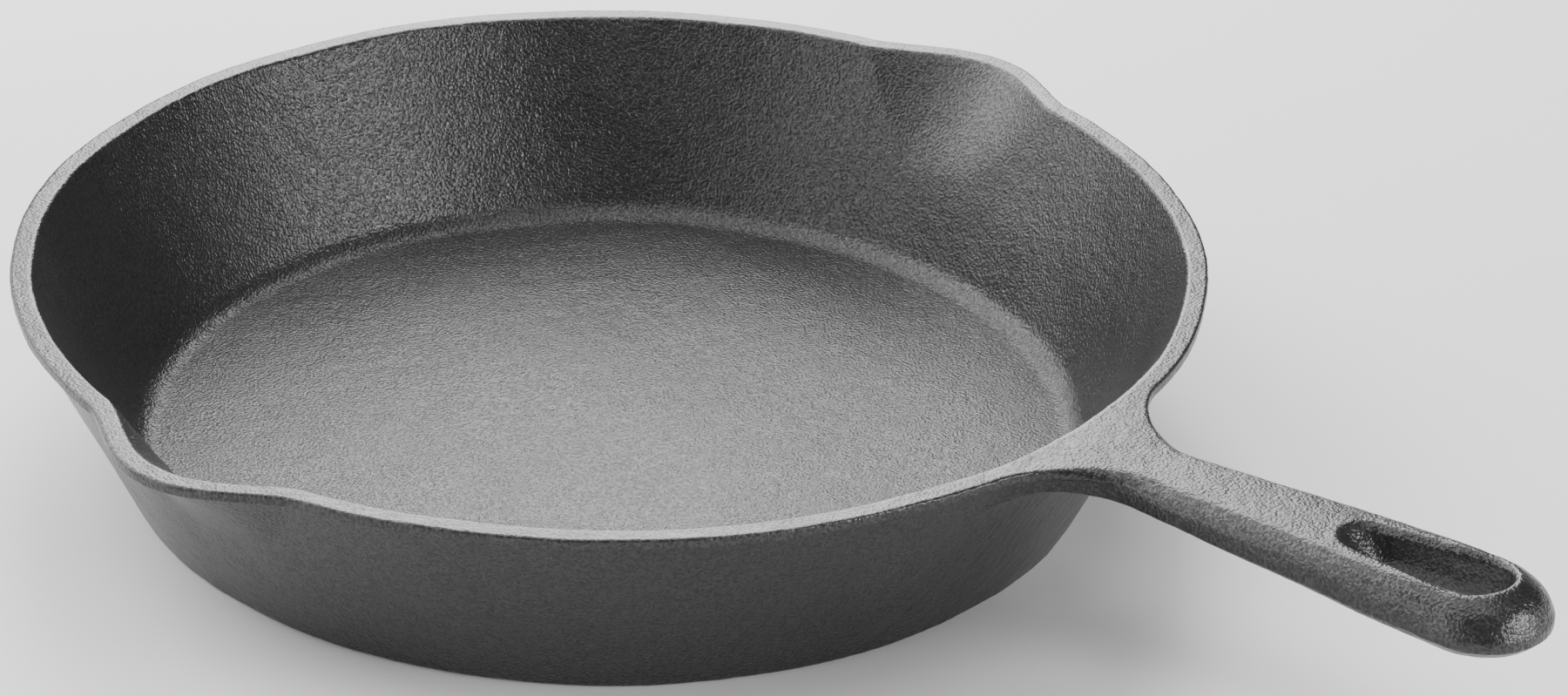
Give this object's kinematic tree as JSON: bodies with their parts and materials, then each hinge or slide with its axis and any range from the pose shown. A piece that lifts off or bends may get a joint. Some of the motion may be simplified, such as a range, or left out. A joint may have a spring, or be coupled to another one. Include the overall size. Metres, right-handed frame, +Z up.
{
  "type": "cast iron skillet",
  "caption": "Round cast iron frying pan with sloping walls, two side pouring lips and one straight handle with a teardrop hanging eye.",
  "frame": {"origin": "centre of the flat underside of the base, on the table", "axes": "+X along the handle from the pan's centre to the hanging eye, +Z up out of the pan, +Y towards the pouring lip on the right hand of a cook who holds the handle"},
  "size_m": [0.4305, 0.3264, 0.0604],
  "materials": {
    "seasoned_iron": "baked oil seasoning, semi-gloss, pebbly sand-cast grain",
    "ground_rim": "ground flat, then seasoned: smoother, lighter, fine speckle"
  },
  "bodies": {
    "root": {"pan_floor": "seasoned_iron", "heel_ring": "seasoned_iron", "wall_far": "seasoned_iron", "wall_left": "seasoned_iron", "wall_right": "seasoned_iron", "rim_far": "ground_rim", "rim_left": "ground_rim", "rim_right": "ground_rim", "pour_lip_left": "seasoned_iron", "pour_lip_right": "seasoned_iron", "handle_root": "seasoned_iron", "handle_grip": "seasoned_iron", "hanging_loop": "seasoned_iron"}
  },
  "joints": []
}
